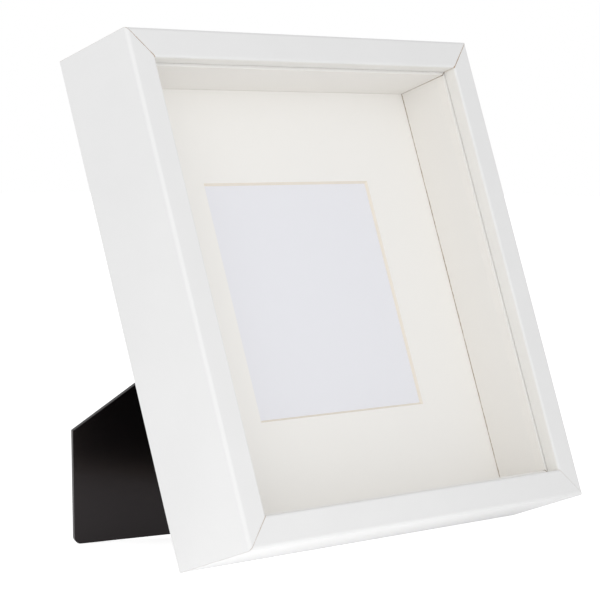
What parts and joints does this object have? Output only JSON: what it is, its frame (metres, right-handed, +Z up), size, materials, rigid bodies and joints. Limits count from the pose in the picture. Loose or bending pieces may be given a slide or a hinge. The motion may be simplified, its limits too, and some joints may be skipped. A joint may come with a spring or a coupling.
{
  "type": "shadow box",
  "caption": "Square box frame with a glazed front, deep spacers, a bevelled mount round a small display space, and a fold-out easel strut.",
  "frame": {"origin": "middle of the object's footprint, on the table it stands on", "axes": "+X to the right seen from the front, +Y from the glazed side towards the strut, +Z up; the frame leans back about X"},
  "size_m": [0.22, 0.129, 0.2215],
  "materials": {
    "white_foil": "satin white foil on fibreboard moulding",
    "spacer_card": "matt off-white",
    "clear_sheet": "clear polished acrylic sheet",
    "mount_card": "matt ivory card with a cream core",
    "white_board": "matt cool white paper face",
    "black_board": "black fine-grained fibreboard",
    "plated_steel": "nickel-plated, satin"
  },
  "bodies": {
    "frame": {"bottom_rail": "white_foil", "right_rail": "white_foil", "top_rail": "white_foil", "left_rail": "white_foil", "bottom_spacer": "spacer_card", "right_spacer": "spacer_card", "top_spacer": "spacer_card", "left_spacer": "spacer_card", "clear_pane": "clear_sheet", "mount_board": "mount_card", "pin_board": "white_board", "back_board": "black_board", "corner_nails": "plated_steel", "turn_button_screws": "plated_steel", "hinge_fixed_leaf": "plated_steel", "hinge_pin": "plated_steel", "hinge_board_rivets": "plated_steel", "hanger_strap": "plated_steel", "hanger_rivet": "plated_steel"},
    "strut": {"strut_board": "black_board", "hinge_strut_leaf": "plated_steel", "hinge_strut_rivets": "plated_steel"},
    "hanger_ring": {"hanger_ring": "plated_steel"},
    "bottom_button": {"bottom_turn_button": "plated_steel"},
    "right_button": {"right_turn_button": "plated_steel"},
    "top_button": {"top_turn_button": "plated_steel"},
    "left_button": {"left_turn_button": "plated_steel"}
  },
  "joints": [
    {"name": "strut_fold", "type": "hinge", "parent": "frame", "child": "strut", "pos_m": [-0.004, 0.01313, 0.1054], "axis": [-0.7071, 0.2272, 0.6696], "range_deg": [0, 34.7]},
    {"name": "bottom_button_turn", "type": "hinge", "parent": "frame", "child": "bottom_button", "pos_m": [0, -0.02274, 0.00479], "axis": [0, -0.947, 0.3213], "range_deg": [0, 90]},
    {"name": "right_button_turn", "type": "hinge", "parent": "frame", "child": "right_button", "pos_m": [0.1048, 0.01093, 0.10403], "axis": [0, -0.947, 0.3213], "range_deg": [0, 90]},
    {"name": "top_button_turn", "type": "hinge", "parent": "frame", "child": "top_button", "pos_m": [0, 0.0446, 0.20328], "axis": [0, -0.947, 0.3213], "range_deg": [0, 90]},
    {"name": "left_button_turn", "type": "hinge", "parent": "frame", "child": "left_button", "pos_m": [-0.1048, 0.01093, 0.10403], "axis": [0, -0.947, 0.3213], "range_deg": [0, 90]},
    {"name": "ring_swing", "type": "hinge", "parent": "frame", "child": "hanger_ring", "pos_m": [0, 0.03415, 0.16796], "axis": [-1, 0, 0], "range_deg": [-160, 17]}
  ]
}
